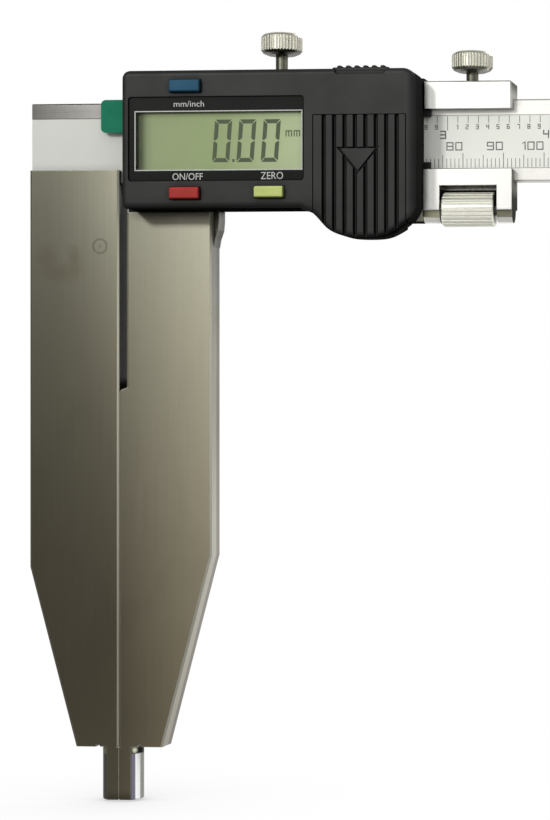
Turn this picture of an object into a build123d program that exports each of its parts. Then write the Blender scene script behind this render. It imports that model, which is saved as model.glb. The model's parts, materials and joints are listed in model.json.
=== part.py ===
from build123d import *
import math
import os

# Digital caliper with long jaws: 300 mm travel, 150 mm jaws, fine adjustment.
# Millimetres. +X runs along the beam in the direction the jaw opens, the display
# faces -Y (front), +Z is up. Origin: X = 0 is the closed measuring plane, Y = 0 the
# middle of the beam's thickness, Z = 0 the plane of the jaw tips.

# ---------------------------------------------------------------- dimensions
FIT = 0.1                 # gap around parts set into an opening
RUN = 0.04                # running clearance on the beam's edges
SIDE_RUN = 0.06           # clearance on the beam's flat sides

BEAM_X0, BEAM_X1 = -22.4, 415.0
BEAM_Z0, BEAM_Z1 = 152.0, 172.0
BEAM_HALF = 5.0 / 2       # half the thickness
GROOVE_X1 = 405.0
GROOVE_Z0, GROOVE_Z1 = 155.2, 168.2
GROOVE_FLOOR = -BEAM_HALF + 1.0
STRIP_Y0 = GROOVE_FLOOR - 0.8
LABEL_T = 0.15
CHANNEL_HALF = BEAM_HALF + SIDE_RUN
SMALL_SCREW_R = 1.25      # end stop and gib screws
STOP_T = 3.0
STOP_SCREW_Z = [157.0, 167.0]

JAW_HALF = 8.0 / 2        # half the jaw thickness along Y
SHOULDER_Z = 13.1
NIB_R = 5.0               # each nib is half of a 10 mm round
JAW_BEVEL = 0.45          # along the long edges
FIX_X0 = -22.5            # fixed jaw outer edge
FIX_TAPER_Z = 57.4
FIX_SHOULDER_X = -10.8
FIX_TOP_Z = 155.4         # top of the front cheek
PIN_XS, PIN_Z, PIN_R, PIN_Y0 = [-19.0, -11.0, -3.0], 153.7, 1.0, -3.3
MOV_X1 = 23.3             # moving jaw outer edge
MOV_TAPER_Z = 60.3
MOV_SHOULDER_X = 11.0
RELIEF_X = 2.0            # relief of the moving jaw's inner edge
RELIEF_Z = 101.7

FRAME_X0, FRAME_X1 = 2.0, 76.0
FRAME_Y0, FRAME_Y1 = -2.7, 4.0
FRAME_Z0, FRAME_Z1 = 145.4, 177.3
GIB_Z0 = BEAM_Z1 + RUN
GIB_Z1 = GIB_Z0 + 0.7
CHANNEL_TOP = GIB_Z1 + RUN
GIB_SCREW_X = [15.0, 62.0]

CASE_X0, CASE_X1 = 3.7, 76.1      # plastic housing
CASE_FACE_X1 = 74.0               # +X end of its flat front
CASE_Y0, CASE_Y1 = -14.0, -2.7
CASE_Z0, CASE_Z1 = 145.0, 178.6
WALL = 1.6
RIM_R = 1.3
INNER_Y = CASE_Y0 + WALL          # back of the front wall
BLOCK_BACK_Y = -7.4               # back of the solid battery block
BLOCK_SIDE_X = 49.3               # -X side of the battery block
WINDOW_Z0, WINDOW_Z1 = 154.9, 169.6   # clear height in front of the beam

BOARD_Y0 = -3.5
HOUSING_SCREWS = [(11.0, 149.2), (68.0, 149.2), (11.0, 174.4), (68.0, 174.4)]   # x, z
BOARD_SCREWS = [(30.0, 174.9), (50.0, 174.9), (30.0, 149.0)]                    # x, z
HOUSING_SCREW_R, HOUSING_HEAD_R, HEAD_SEAT_Y = 1.0, 1.8, 2.65
BOARD_SCREW_R = 0.8

# Rectangles in the front view: x0, x1, z0, z1
DISPLAY_RECESS = (5.4, 48.8, 151.6, 172.1)
BEZEL_OPENING = (6.9, 48.2, 154.3, 168.7)
BEZEL_Y1 = -12.9
BUTTONS = {
    "mm_inch_button": (15.8, 23.5, 173.1, 176.1),
    "power_button": (15.8, 23.3, 147.2, 150.1),
    "zero_button": (36.7, 44.0, 147.4, 150.2),
}

DOOR_X0, DOOR_X1, DOOR_Z1 = 51.1, 73.6, 167.3
RIB_PITCH, FIRST_RIB_GROOVE_X, RIB_GROOVES = 2.547, 53.66, 8
BATTERY_X, BATTERY_Z, BATTERY_R = 61.8, 154.5, 10.0

FINE_Y, FINE_Z, FINE_R = -1.6, 145.2, 1.5     # fine adjustment screw, along X
FINE_X0 = 72.8
FINE_PIN_X, FINE_PIN_R = 74.3, 0.6
LUG_X0, LUG_R = 72.6, 3.4
BLOCK_X0, BLOCK_X1 = 76.2, 98.0
BLOCK_Y0, BLOCK_Y1 = -5.0, 4.0
BLOCK_Z1 = 176.35
NUT_SLOT_X0, NUT_SLOT_X1 = 80.2, 94.3
NUT_X0, NUT_X1, NUT_R, NUT_FLUTES = 80.6, 93.5, 4.2, 26

LOCK_X, BLOCK_LOCK_X = 39.95, 87.5
STEM_R = 1.5
LOCK_HEAD_R, LOCK_FLUTES = 5.05, 40
PAD_Z0 = BEAM_Z1 + 0.4
PAD_Z1 = PAD_Z0 + 1.8


# ------------------------------------------------------------------- helpers
# Cutters run past the faces they open.
def box(x0, x1, y0, y1, z0, z1):
    return Pos((x0 + x1) / 2, (y0 + y1) / 2, (z0 + z1) / 2) * Box(x1 - x0, y1 - y0, z1 - z0)


def plate(rectangle, y0, y1, grow=0.0):
    """A front-view rectangle, grown on all sides, from y0 to y1."""
    x0, x1, z0, z1 = rectangle
    return box(x0 - grow, x1 + grow, y0, y1, z0 - grow, z1 + grow)


def rod_x(y, z, r, x0, x1):
    return Pos((x0 + x1) / 2, y, z) * Rot(0, 90, 0) * Cylinder(r, x1 - x0)


def rod_y(x, z, r, y0, y1):
    return Pos(x, (y0 + y1) / 2, z) * Rot(90, 0, 0) * Cylinder(r, y1 - y0)


def rod_z(x, y, r, z0, z1):
    return Pos(x, y, (z0 + z1) / 2) * Cylinder(r, z1 - z0)


def prism(points, y0, y1):
    """A closed X-Z outline pushed along Y."""
    wire = Polyline(*[(x, y0, z) for x, z in points], close=True)
    return extrude(make_face(wire), amount=y1 - y0, dir=(0, 1, 0))


def end_edges(part, axis, index):
    """Edges of the first (0) or last (-1) face along an axis."""
    return part.faces().sort_by(axis)[index].edges()


def soft(part, edges, size, kind=fillet):
    """Round or bevel edges, with a smaller size where the full one does not fit."""
    for scale in (1.0, 0.7, 0.4):
        # guards against a size the kernel cannot build; the part stays sharp if all fail
        try:
            out = kind(edges, size * scale)
            if out.is_valid:
                return out
        except Exception:
            continue
    return part


def arc(x, z, r, start, end, steps):
    angles = [math.radians(start + (end - start) * i / steps) for i in range(steps + 1)]
    return [(x + r * math.cos(a), z + r * math.sin(a)) for a in angles]


def inset(points, distance):
    """The clockwise outline moved inwards."""
    out = []
    for i, (x, z) in enumerate(points):
        (xa, za), (xb, zb) = points[i - 1], points[(i + 1) % len(points)]
        before, after = (z - za, xa - x), (zb - z, x - xb)
        len_before, len_after = math.hypot(*before), math.hypot(*after)
        nx = before[0] / len_before + after[0] / len_after
        nz = before[1] / len_before + after[1] / len_after
        k = distance * 2 / (nx * nx + nz * nz)
        out.append((x + nx * k, z + nz * k))
    return out


# ------------------------------------------------------- beam and its end stop
def make_beam():
    beam = box(BEAM_X0, BEAM_X1, -BEAM_HALF, BEAM_HALF, BEAM_Z0, BEAM_Z1)
    beam = soft(beam, beam.edges().filter_by(Axis.X), 0.3, chamfer)
    beam -= box(BEAM_X0 - 1, GROOVE_X1, -BEAM_HALF - 1, GROOVE_FLOOR, GROOVE_Z0, GROOVE_Z1)
    for x in PIN_XS:
        beam -= rod_y(x, PIN_Z, PIN_R, -3.0, 3.0)
    for z in STOP_SCREW_Z:
        beam -= rod_x(0, z, SMALL_SCREW_R, BEAM_X1 - 8.0, BEAM_X1 + 1)
    return beam


def groove_layer(y0, y1, gap):
    return box(BEAM_X0, GROOVE_X1 - 0.1, y0, y1, GROOVE_Z0 + gap, GROOVE_Z1 - gap)


def make_end_stop():
    stop = box(BEAM_X1, BEAM_X1 + STOP_T, -3.4, 3.4, BEAM_Z0 - 1, BEAM_Z1 + 1)
    stop = soft(stop, stop.edges().filter_by(Axis.X), 1.2)
    stop = soft(stop, end_edges(stop, Axis.X, -1), 0.4)
    for z in STOP_SCREW_Z:
        stop -= rod_x(0, z, SMALL_SCREW_R, BEAM_X1 - 1, BEAM_X1 + STOP_T + 1)
    return stop


def end_stop_screw(z):
    head_x0 = BEAM_X1 + STOP_T
    head_x1 = head_x0 + 1.6
    head = rod_x(0, z, 2.3, head_x0, head_x1)
    head = soft(head, end_edges(head, Axis.X, -1), 0.4)
    socket = Pos(head_x1, 0, z) * Rot(0, 90, 0) * extrude(RegularPolygon(0.85, 6), amount=-1.0)
    return head - socket + rod_x(0, z, SMALL_SCREW_R, BEAM_X1 - 7.5, head_x0)


# ---------------------------------------------------------------------- jaws
def make_nib(x0, x1):
    nib = box(x0, x1, -JAW_HALF, JAW_HALF, 0, SHOULDER_Z)
    nib &= rod_z(0, 0, NIB_R, -1, SHOULDER_Z + 1)
    return soft(nib, end_edges(nib, Axis.Z, 0), 0.25, chamfer)


def nib_corner_groove(side):
    """Round groove where the nib meets the shoulder; side is -1 or 1 along X."""
    return rod_y(side * (NIB_R + 0.25), SHOULDER_Z - 0.1, 0.6, -JAW_HALF - 1, JAW_HALF + 1)


def is_long_jaw_edge(edge):
    centre = edge.center()
    return (abs(abs(centre.Y) - JAW_HALF) < 0.01 and edge.length > 12
            and abs(centre.Z - SHOULDER_Z) > 1)


def make_fixed_jaw():
    jaw = prism([(FIX_X0, BEAM_Z1), (FIX_X0, FIX_TAPER_Z), (FIX_SHOULDER_X, SHOULDER_Z),
                 (-NIB_R, SHOULDER_Z), (0, SHOULDER_Z), (0, BEAM_Z1)], -JAW_HALF, JAW_HALF)
    jaw -= box(FIX_X0 - 1, 1, -BEAM_HALF, BEAM_HALF, BEAM_Z0, BEAM_Z1 + 1)
    jaw -= box(FIX_X0 - 1, 1, -JAW_HALF - 1, -BEAM_HALF, FIX_TOP_Z, BEAM_Z1 + 1)
    long_edges = [e for e in jaw.edges() if is_long_jaw_edge(e)
                  and abs(e.center().Z - FIX_TOP_Z) > 1 and abs(e.center().Z - BEAM_Z1) > 1]
    jaw = soft(jaw, long_edges, JAW_BEVEL, chamfer)
    jaw += make_nib(-NIB_R, 0)
    jaw -= nib_corner_groove(-1)
    for x in PIN_XS:
        jaw -= rod_y(x, PIN_Z, PIN_R, PIN_Y0, JAW_HALF + 1)
    return jaw


def make_moving_jaw():
    root_z = FRAME_Z0 + 2
    jaw = prism([(0, SHOULDER_Z), (MOV_SHOULDER_X, SHOULDER_Z), (MOV_X1, MOV_TAPER_Z),
                 (MOV_X1, root_z), (RELIEF_X, root_z), (RELIEF_X, RELIEF_Z),
                 (0, RELIEF_Z - 0.8)], -JAW_HALF, JAW_HALF)
    jaw -= box(-5, 40, -JAW_HALF - 1, FRAME_Y0, CASE_Z0 - 0.1, FRAME_Z0 + 5)
    long_edges = [e for e in jaw.edges() if is_long_jaw_edge(e) and e.center().Z < 143]
    jaw = soft(jaw, long_edges, JAW_BEVEL, chamfer)
    # the rear part of the jaw is wider where it grows out of the frame
    jaw += prism([(MOV_X1 - 2, 136.4), (MOV_X1, 136.4), (MOV_X1 + 0.35, 138.4),
                  (24.4, 140.6), (24.6, 143.0), (24.6, root_z), (MOV_X1 - 2, root_z)],
                 -1.9, JAW_HALF)
    jaw += make_nib(0, NIB_R)
    jaw -= nib_corner_groove(1)
    return jaw


def make_sliding_jaw():
    """The frame around the beam, in one piece with the moving jaw."""
    frame = box(FRAME_X0, FRAME_X1, FRAME_Y0, FRAME_Y1, FRAME_Z0, FRAME_Z1)
    frame = soft(frame, end_edges(frame, Axis.Y, -1), 0.4, chamfer)
    frame -= box(FRAME_X0 - 1, FRAME_X1 + 1, FRAME_Y0 - 1, CHANNEL_HALF,
                 BEAM_Z0 - RUN, CHANNEL_TOP)
    for x0 in (5.5, 71.4):        # front bridges that keep the beam in its channel
        frame += box(x0, x0 + 3.0, -4.2, -CHANNEL_HALF, 147.0, 176.9)
    frame += make_moving_jaw()
    # lug for the fine adjustment screw and its cross pin
    lug = box(LUG_X0, FRAME_X1, FINE_Y - LUG_R, FINE_Y + LUG_R, FINE_Z, 150.0)
    lug += rod_x(FINE_Y, FINE_Z, LUG_R, LUG_X0, FRAME_X1)
    frame += lug
    frame -= rod_x(FINE_Y, FINE_Z, FINE_R, FINE_X0, FRAME_X1 + 1)
    frame -= rod_z(FINE_PIN_X, FINE_Y, FINE_PIN_R, 140.0, 148.4)
    # rear label pocket
    frame -= box(5.0, 74.0, FRAME_Y1 - 0.25, FRAME_Y1 + 1, 147.0, 176.4)
    for x, z in HOUSING_SCREWS:
        frame -= rod_y(x, z, HOUSING_SCREW_R, FRAME_Y0 - 1, FRAME_Y1)
        frame -= rod_y(x, z, HOUSING_HEAD_R, HEAD_SEAT_Y, FRAME_Y1)
    for x, z in BOARD_SCREWS:
        frame -= rod_y(x, z, BOARD_SCREW_R, FRAME_Y0 - 1, 0.3)
    for x in GIB_SCREW_X:
        frame -= rod_z(x, 0, SMALL_SCREW_R, CHANNEL_TOP - 1, FRAME_Z1 + 1)
    frame -= rod_z(LOCK_X, 0, STEM_R + 0.05, CHANNEL_TOP - 1, FRAME_Z1 + 1)
    return frame


def make_gib_strip():
    strip = box(4.2, 75.6, -2.4, 2.4, GIB_Z0, GIB_Z1)
    return strip - rod_z(LOCK_X, 0, STEM_R + 0.15, BEAM_Z1 - 1, BEAM_Z1 + 3)


def gib_screw(x):
    slot = box(x - 0.25, x + 0.25, -1.5, 1.5, FRAME_Z1 - 1.1, FRAME_Z1)
    return rod_z(x, 0, SMALL_SCREW_R, GIB_Z1, FRAME_Z1 - 0.4) - slot


# ------------------------------------------------------------- plastic housing
# Lower edge of the housing with its bulge, from +X to -X: x, z
BULGE_POINTS = [
    (CASE_X1, 147.0), (CASE_X1 - 0.25, 144.7), (74.9, 142.6), (73.2, 141.0),
    (71.1, 139.65), (68.3, 138.3), (65.5, 137.85), (62.8, 137.8), (60.4, 137.9),
    (58.3, 138.2), (56.2, 138.9), (54.2, 140.1), (52.6, 141.8), (51.4, 143.1),
    (49.9, 144.1), (47.8, 144.8), (45.6, CASE_Z0),
]
BULGE_STEPS = 56


def sample_bulge():
    curve = Spline(*[(x, CASE_Y0, z) for x, z in BULGE_POINTS],
                   tangents=[(0, 0, -1), (-1, 0, 0)])
    samples = [curve @ (i / BULGE_STEPS) for i in range(BULGE_STEPS + 1)]
    return [(p.X, p.Z) for p in samples]


BULGE = sample_bulge()
DOOR_BULGE = [(x, z) for x, z in BULGE if x > DOOR_X0 - 4]     # the stretch below the door


def make_case_blank():
    """The solid outer form, its front rim rounded all the way round."""
    outline = (arc(CASE_X0 + 2, CASE_Z1 - 2, 2, 180, 90, 10)
               + arc(CASE_X1 - 3.4, CASE_Z1 - 3.4, 3.4, 90, 0, 14) + BULGE
               + arc(CASE_X0 + 1.5, CASE_Z0 + 1.5, 1.5, 270, 180, 8))
    sections = [(CASE_Y1, 0.0)]       # y, inset
    for degrees in (0, 18, 36, 54, 72, 90):
        a = math.radians(degrees)
        sections.append((CASE_Y0 + RIM_R * (1 - math.sin(a)), RIM_R * (1 - math.cos(a))))
    rings = [Polyline(*[(x, y, z) for x, z in inset(outline, d)], close=True)
             for y, d in sections]
    blank = Part() + Solid.make_loft(rings, ruled=True)
    corner_r = CASE_X1 - CASE_FACE_X1
    corner_y = CASE_Y0 + corner_r
    blank -= (box(CASE_FACE_X1, CASE_X1 + 1, CASE_Y0 - 1, corner_y, 130, 190)
              - rod_z(CASE_FACE_X1, corner_y, corner_r, 129, 191))
    return blank


def make_front_housing(blank):
    front, back = CASE_Y0 - 1, CASE_Y1 + 1       # overrun of the cutters
    inner_x0, inner_z0, inner_z1 = CASE_X0 + WALL, CASE_Z0 + WALL, CASE_Z1 - WALL
    # hollow inside, leaving the battery block behind the door
    shell = blank - box(inner_x0, CASE_X1 - WALL, BLOCK_BACK_Y, back, inner_z0, inner_z1)
    shell -= box(inner_x0, BLOCK_SIDE_X, INNER_Y, BLOCK_BACK_Y, inner_z0, inner_z1)
    shell -= box(BLOCK_SIDE_X, CASE_X1 - 3.2, INNER_Y, BLOCK_BACK_Y, 169.6, inner_z1)
    # recess and opening of the display
    recess = plate(DISPLAY_RECESS, front, BEZEL_Y1)
    shell -= soft(recess, recess.edges().filter_by(Axis.Y), 0.8)
    shell -= box(7.3, 48.08, front, -12.3, 154.42, 168.35)
    # door opening, its side grooves and the room under the battery block
    door_top = DOOR_Z1 + 0.15
    shell -= box(DOOR_X0 - 0.2, DOOR_X1 + 0.2, front, -12.3, 130, door_top)
    shell -= box(DOOR_X0 - 0.9, DOOR_X1 + 0.9, -13.45, -12.3, 130, door_top)
    under = [(x, z + 1.9) for x, z in DOOR_BULGE]
    under += [(DOOR_BULGE[-1][0], 130), (DOOR_BULGE[0][0], 130)]
    shell -= (prism(under, front, back)
              & box(DOOR_X0 - 0.2, DOOR_X1 + 0.2, CASE_Y0 - 2, CASE_Y1 + 2, 129, 160))
    # battery well with room for its contacts
    shell -= rod_y(BATTERY_X, BATTERY_Z, BATTERY_R + 0.3, front, -8.4)
    shell -= box(60.1, 63.5, -12.4, -7.0, 164.3, 165.2)
    shell -= box(60.1, 63.5, -9.0, -7.0, 148.6, 150.4)
    for key in BUTTONS.values():
        shell -= plate(key, front, -12.0, FIT)
    # screw bosses
    for x, z in HOUSING_SCREWS:
        floor = BLOCK_BACK_Y if x > 49 and z < 160 else INNER_Y
        shell += rod_y(x, z, 2.2, floor - 0.2, CASE_Y1)
        shell -= rod_y(x, z, HOUSING_SCREW_R, -8.0, back)
    # data port: opening, and the track of its cover, open to the back
    shell -= box(58.0, 67.0, -9.5, -5.5, 176.5, 178.0)
    scoop = box(56.2, 68.8, front, -13.1, 177.1, 181)
    low_edges = [e for e in scoop.edges().filter_by(Axis.Y) if e.center().Z < 178]
    shell -= soft(scoop, low_edges, 0.9)
    shell -= box(55.4, 69.6, -13.1, back, 178.05, CASE_Z1 + 1)
    shell -= box(54.7, 70.3, -12.2, back, 177.4, 178.2)
    # slot for the plastic tab, its clamp rib and the notch around the frame's lug
    shell -= box(CASE_X0 - 1, inner_x0 + 0.5, -4.7, -4.1, 164.4, 173.1)
    shell += (box(inner_x0 - 0.2, 8.2, -12.6, -4.6, 171.9, 172.5)
              + box(inner_x0 - 0.2, 6.2, -9.8, -4.6, 165.5, 172.5))
    shell -= box(LUG_X0 - 0.4, CASE_X1 + 1, -5.3, back, 130, 150.6)
    # seat of the beam wiper
    shell -= box(CASE_X1 - WALL - 0.2, CASE_X1 + 1, -4.0, back, WINDOW_Z0, WINDOW_Z1)
    return shell


# ------------------------------------------------------ display, board and keys
def make_bezel():
    bezel = plate(DISPLAY_RECESS, -13.5, BEZEL_Y1, -FIT) - plate(BEZEL_OPENING, -14, -12)
    corners = [e for e in bezel.edges().filter_by(Axis.Y)
               if e.center().X > 48.5 or e.center().X < 5.7]
    return soft(bezel, corners, 0.8)


def make_lcd_panel():
    return box(6.4, 48.8, -12.3, -11.3, 152.8, 169.8) + box(6.4, 48.8, -11.3, -10.3, 152.2, 170.4)


def make_circuit_board():
    board = box(8.7, 71.2, BOARD_Y0, FRAME_Y0, 147.0, 176.8)
    for x, z in HOUSING_SCREWS:       # corners cut away around the bosses
        x_span = (5, x + 2.6) if x < 40 else (x - 2.6, 75)
        z_span = (140, z + 2.6) if z < 160 else (z - 2.6, 180)
        board -= box(*x_span, -6, 0, *z_span)
    for x, z in BOARD_SCREWS:
        board -= rod_y(x, z, BOARD_SCREW_R + 0.1, -6, 0)
    return board


def board_screw(x, z):
    head = rod_y(x, z, 1.5, -4.3, BOARD_Y0)
    head -= box(x - 1.1, x + 1.1, -4.4, -4.0, z - 0.2, z + 0.2)
    return head + rod_y(x, z, BOARD_SCREW_R, BOARD_Y0, 0.2)


def make_control_chip():
    chip = rod_y(28.0, 161.0, 4.2, -4.8, BOARD_Y0)
    return soft(chip, end_edges(chip, Axis.Y, 0), 1.0)


def tact_switch(x0, x1, z0, z1):
    x, z = (x0 + x1) / 2, (z0 + z1) / 2
    body = box(x - 2.2, x + 2.2, -5.0, BOARD_Y0, z - 1.7, z + 1.7)
    return body + rod_y(x, z, 1.1, -5.4, -5.0)


def make_key(x0, x1, z0, z1):
    """A key cap with its retaining flange and the plunger behind it."""
    x, z = (x0 + x1) / 2, (z0 + z1) / 2
    cap = box(x0, x1, CASE_Y0 - 1.3, -11.8, z0, z1)
    cap = soft(cap, cap.edges().filter_by(Axis.Y), 0.5)
    cap = soft(cap, end_edges(cap, Axis.Y, 0), 0.55)
    flange = box(x0 - 0.7, x1 + 0.7, -12.3, -11.6, z0 - 0.55, z1 + 0.55)
    return cap + flange + box(x - 1.2, x + 1.2, -11.7, -5.95, z - 0.9, z + 0.9)


# ------------------------------------------------------------ battery and door
def make_battery():
    battery = (rod_y(BATTERY_X, BATTERY_Z, BATTERY_R, -12.0, -9.4)
               + rod_y(BATTERY_X, BATTERY_Z, 8.8, -9.5, -8.8))
    return soft(battery, end_edges(battery, Axis.Y, 0), 0.4)


def make_battery_contacts():
    x0, x1 = 60.4, 63.2
    minus = (box(x0, x1, -8.75, -8.5, 149.2, 157.5)
             + box(x0, x1, -8.75, BOARD_Y0, 149.2, 149.45))
    plus = box(x0, x1, -11.5, BOARD_Y0, 164.7, 164.95)
    return [minus, plus]


def make_battery_door(blank):
    door = blank & box(DOOR_X0, DOOR_X1, CASE_Y0 - 1, -3.0, 130, DOOR_Z1)
    room = [(x, z + 1.6) for x, z in DOOR_BULGE]
    room += [(DOOR_BULGE[-1][0], 180), (DOOR_BULGE[0][0] + 2, 180)]
    door -= prism(room, -12.5, 0)
    door -= box(LUG_X0 - 0.5, DOOR_X1 + 1, -5.5, 0, 130, 160)
    for i in range(RIB_GROOVES):
        x = FIRST_RIB_GROOVE_X + RIB_PITCH * i
        groove = Polyline((x - 0.62, -14.2), (x + 0.62, -14.2), (x + 0.52, CASE_Y0),
                          (x + 0.16, -13.15), (x - 0.16, -13.15), (x - 0.52, CASE_Y0),
                          close=True)
        door -= Pos(0, 0, 130) * extrude(make_face(groove), amount=DOOR_Z1 - 129)
    # a raised arrow in a sunken triangle, pointing down
    door -= prism([(56.75, 159.55), (67.25, 159.55), (62.0, 153.1)], -15, -13.3)
    door += prism([(57.7, 159.2), (66.3, 159.2), (62.0, 153.9)], -13.9, -13.2)
    # side rails
    for x0, x1 in ((DOOR_X0 - 0.7, DOOR_X0 + 0.2), (DOOR_X1 - 0.2, DOOR_X1 + 0.7)):
        door += box(x0, x1, -13.3, -12.5, 144.5, DOOR_Z1)
    return door


# ------------------------------------- data port, housing screws, tab and wiper
def make_port_cover():
    cover = (box(55.6, 69.4, -12.95, -3.0, 178.1, 178.9)
             + box(54.85, 70.15, -12.0, -3.0, 177.5, 178.1))
    cover = soft(cover, end_edges(cover, Axis.Z, -1), 0.3)
    for i in range(6):
        x = 57.2 + 2.12 * i
        ridge = box(x - 0.55, x + 0.55, -12.6, -3.6, 178.6, 179.4)
        cover += soft(ridge, end_edges(ridge, Axis.Z, -1), 0.4)
    return cover


def port_contact(x):
    return (box(x - 0.4, x + 0.4, -8.2, BOARD_Y0, 174.0, 174.4)
            + box(x - 0.4, x + 0.4, -8.2, -7.8, 174.0, 177.1))


def housing_screw(x, z):
    screw = (rod_y(x, z, HOUSING_HEAD_R, HEAD_SEAT_Y, 3.7)
             + rod_y(x, z, HOUSING_SCREW_R, -7.5, HEAD_SEAT_Y))
    for dx, dz in ((1.3, 0.25), (0.25, 1.3)):     # cross recess
        screw -= box(x - dx, x + dx, 3.2, 3.8, z - dz, z + dz)
    return screw


def make_pull_tab():
    tab = box(-4.3, 5.4, -4.55, -4.25, 164.5, 172.6)
    free_corners = [e for e in tab.edges().filter_by(Axis.Y) if e.center().X < 0]
    return soft(tab, free_corners, 1.2) + box(5.0, 8.3, -4.55, -4.25, 164.5, 171.8)


def make_beam_wiper():
    y0, y1, foot = -3.9, -2.62, 1.7
    z0, z1 = WINDOW_Z0 + FIT, WINDOW_Z1 - FIT
    wiper = box(74.5, 76.0, y0, y1, z0, z1)
    for z in (z0, z1 - foot):
        wiper += box(75.5, 77.8, y0, y1, z, z + foot)
    return wiper


# --------------------------------------------------- fine adjustment and locks
def make_fine_screw():
    screw = rod_x(FINE_Y, FINE_Z, FINE_R, FINE_X0, 96.8)
    return screw - rod_z(FINE_PIN_X, FINE_Y, FINE_PIN_R, 140, 150)


def make_fine_block():
    x0, x1, front = BLOCK_X0 - 1, BLOCK_X1 + 1, BLOCK_Y0 - 1     # overrun of the cutters
    block = box(BLOCK_X0, BLOCK_X1, BLOCK_Y0, BLOCK_Y1, FINE_Z, BLOCK_Z1)
    block = soft(block, end_edges(block, Axis.Z, -1), 0.35, chamfer)
    block += rod_x(FINE_Y, FINE_Z, LUG_R, BLOCK_X0, BLOCK_X1)
    block -= box(x0, x1, -CHANNEL_HALF, CHANNEL_HALF, BEAM_Z0 - RUN, BEAM_Z1 + SIDE_RUN)
    block -= box(x0, x1, front, -BEAM_HALF, WINDOW_Z0, WINDOW_Z1)
    # room for the nut
    block -= box(NUT_SLOT_X0, NUT_SLOT_X1, front, 2.85, 140, 150.9)
    block -= box(NUT_SLOT_X0, NUT_SLOT_X1, front, BLOCK_Y1 + 1, 140, FINE_Z + 0.001)
    block -= box(x0, x1, front, BLOCK_Y0 + 0.6, 140, FINE_Z - 0.3)    # flats on the lugs
    block -= rod_x(FINE_Y, FINE_Z, FINE_R + 0.1, x0, 97.2)
    block -= rod_z(BLOCK_LOCK_X, 0, STEM_R + 0.05, BEAM_Z1 - 1, BLOCK_Z1 + 1)
    front_corners = block.edges().filter_by(Axis.Z).filter_by(
        lambda e: e.center().Y < -4.9 and e.center().Z > 172)
    return soft(block, front_corners, 0.35, chamfer)


def make_fine_nut():
    x0, x1, flute_at = NUT_X0 - 1, NUT_X1 + 1, NUT_R + 0.04
    nut = rod_x(FINE_Y, FINE_Z, NUT_R, NUT_X0, NUT_X1)
    nut = soft(nut, nut.edges(), 0.35, chamfer)
    for i in range(NUT_FLUTES):
        a = 2 * math.pi * i / NUT_FLUTES
        nut -= rod_x(FINE_Y + flute_at * math.cos(a), FINE_Z + flute_at * math.sin(a),
                     0.22, x0, x1)
    nut -= rod_x(FINE_Y, FINE_Z, FINE_R + 0.05, x0, x1)
    return nut


def make_thumbscrew(x, z0, z1):
    """A knurled head from z0 to z1, coned underneath, its stem standing on the pad."""
    r = LOCK_HEAD_R
    profile = [                       # radius, z
        (0, PAD_Z1), (STEM_R, PAD_Z1), (STEM_R, z0), (3.4, z0), (4.5, z0 + 0.45),
        (r, z0 + 1.15), (r, z1 - 1.15), (r - 0.12, z1 - 0.7), (r - 0.42, z1 - 0.28),
        (r - 1.0, z1), (3.2, z1), (2.9, z1 - 0.15), (0, z1 - 0.15),
    ]
    outline = Polyline(*[(radius, 0, z) for radius, z in profile], close=True)
    body = revolve(make_face(outline), Axis.Z)
    flute_at = r + 0.09
    for i in range(LOCK_FLUTES):
        a = 2 * math.pi * i / LOCK_FLUTES
        body -= rod_z(flute_at * math.cos(a), flute_at * math.sin(a), 0.24, z0 - 1, z1 + 1)
    return Pos(x, 0, 0) * body


# -------------------------------------------------------------------- export
case_blank = make_case_blank()
nodes = {
    "beam": make_beam(),
    "scale_strip": groove_layer(STRIP_Y0, GROOVE_FLOOR, 0.1),
    "ruler_label": groove_layer(STRIP_Y0 - LABEL_T, STRIP_Y0, 0.05),
    "fixed_jaw": make_fixed_jaw(),
    "fixed_jaw_pins": [rod_y(x, PIN_Z, PIN_R, PIN_Y0, JAW_HALF) for x in PIN_XS],
    "beam_end_stop": make_end_stop(),
    "end_stop_screws": [end_stop_screw(z) for z in STOP_SCREW_Z],
    "sliding_jaw": make_sliding_jaw(),
    "gib_strip": make_gib_strip(),
    "gib_screws": [gib_screw(x) for x in GIB_SCREW_X],
    "front_housing": make_front_housing(case_blank),
    "display_bezel": make_bezel(),
    "lcd_window": plate(BEZEL_OPENING, -13.45, BEZEL_Y1, -0.05),
    "lcd_panel": make_lcd_panel(),
    "zebra_connectors": [box(8.5, 46.5, -10.3, BOARD_Y0, z, z + 1.8) for z in (152.5, 168.3)],
    "circuit_board": make_circuit_board(),
    "board_screws": [board_screw(x, z) for x, z in BOARD_SCREWS],
    "control_chip": make_control_chip(),
    "tact_switches": [tact_switch(*key) for key in BUTTONS.values()],
    "battery": make_battery(),
    "battery_contacts": make_battery_contacts(),
    "battery_door": make_battery_door(case_blank),
    "port_cover": make_port_cover(),
    "port_contacts": [port_contact(x) for x in (58.9, 60.9, 62.9, 64.9)],
    "housing_screws": [housing_screw(x, z) for x, z in HOUSING_SCREWS],
    "rear_label": box(5.3, 73.7, 3.75, 3.95, 147.3, 176.1),
    "pull_tab": make_pull_tab(),
    "beam_wiper": make_beam_wiper(),
    "fine_screw": make_fine_screw(),
    "fine_screw_pin": rod_z(FINE_PIN_X, FINE_Y, FINE_PIN_R, 142.3, 148.3),
    "fine_block": make_fine_block(),
    "fine_nut": make_fine_nut(),
}
for name, key in BUTTONS.items():
    nodes[name] = make_key(*key)
for prefix, x, z0, z1 in (("", LOCK_X, 183.6, 188.9), ("block_", BLOCK_LOCK_X, 178.9, 183.9)):
    nodes[prefix + "lock_pad"] = rod_z(x, 0, STEM_R - 0.05, PAD_Z0, PAD_Z1)
    nodes[prefix + "lock_screw"] = make_thumbscrew(x, z0, z1)

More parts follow.
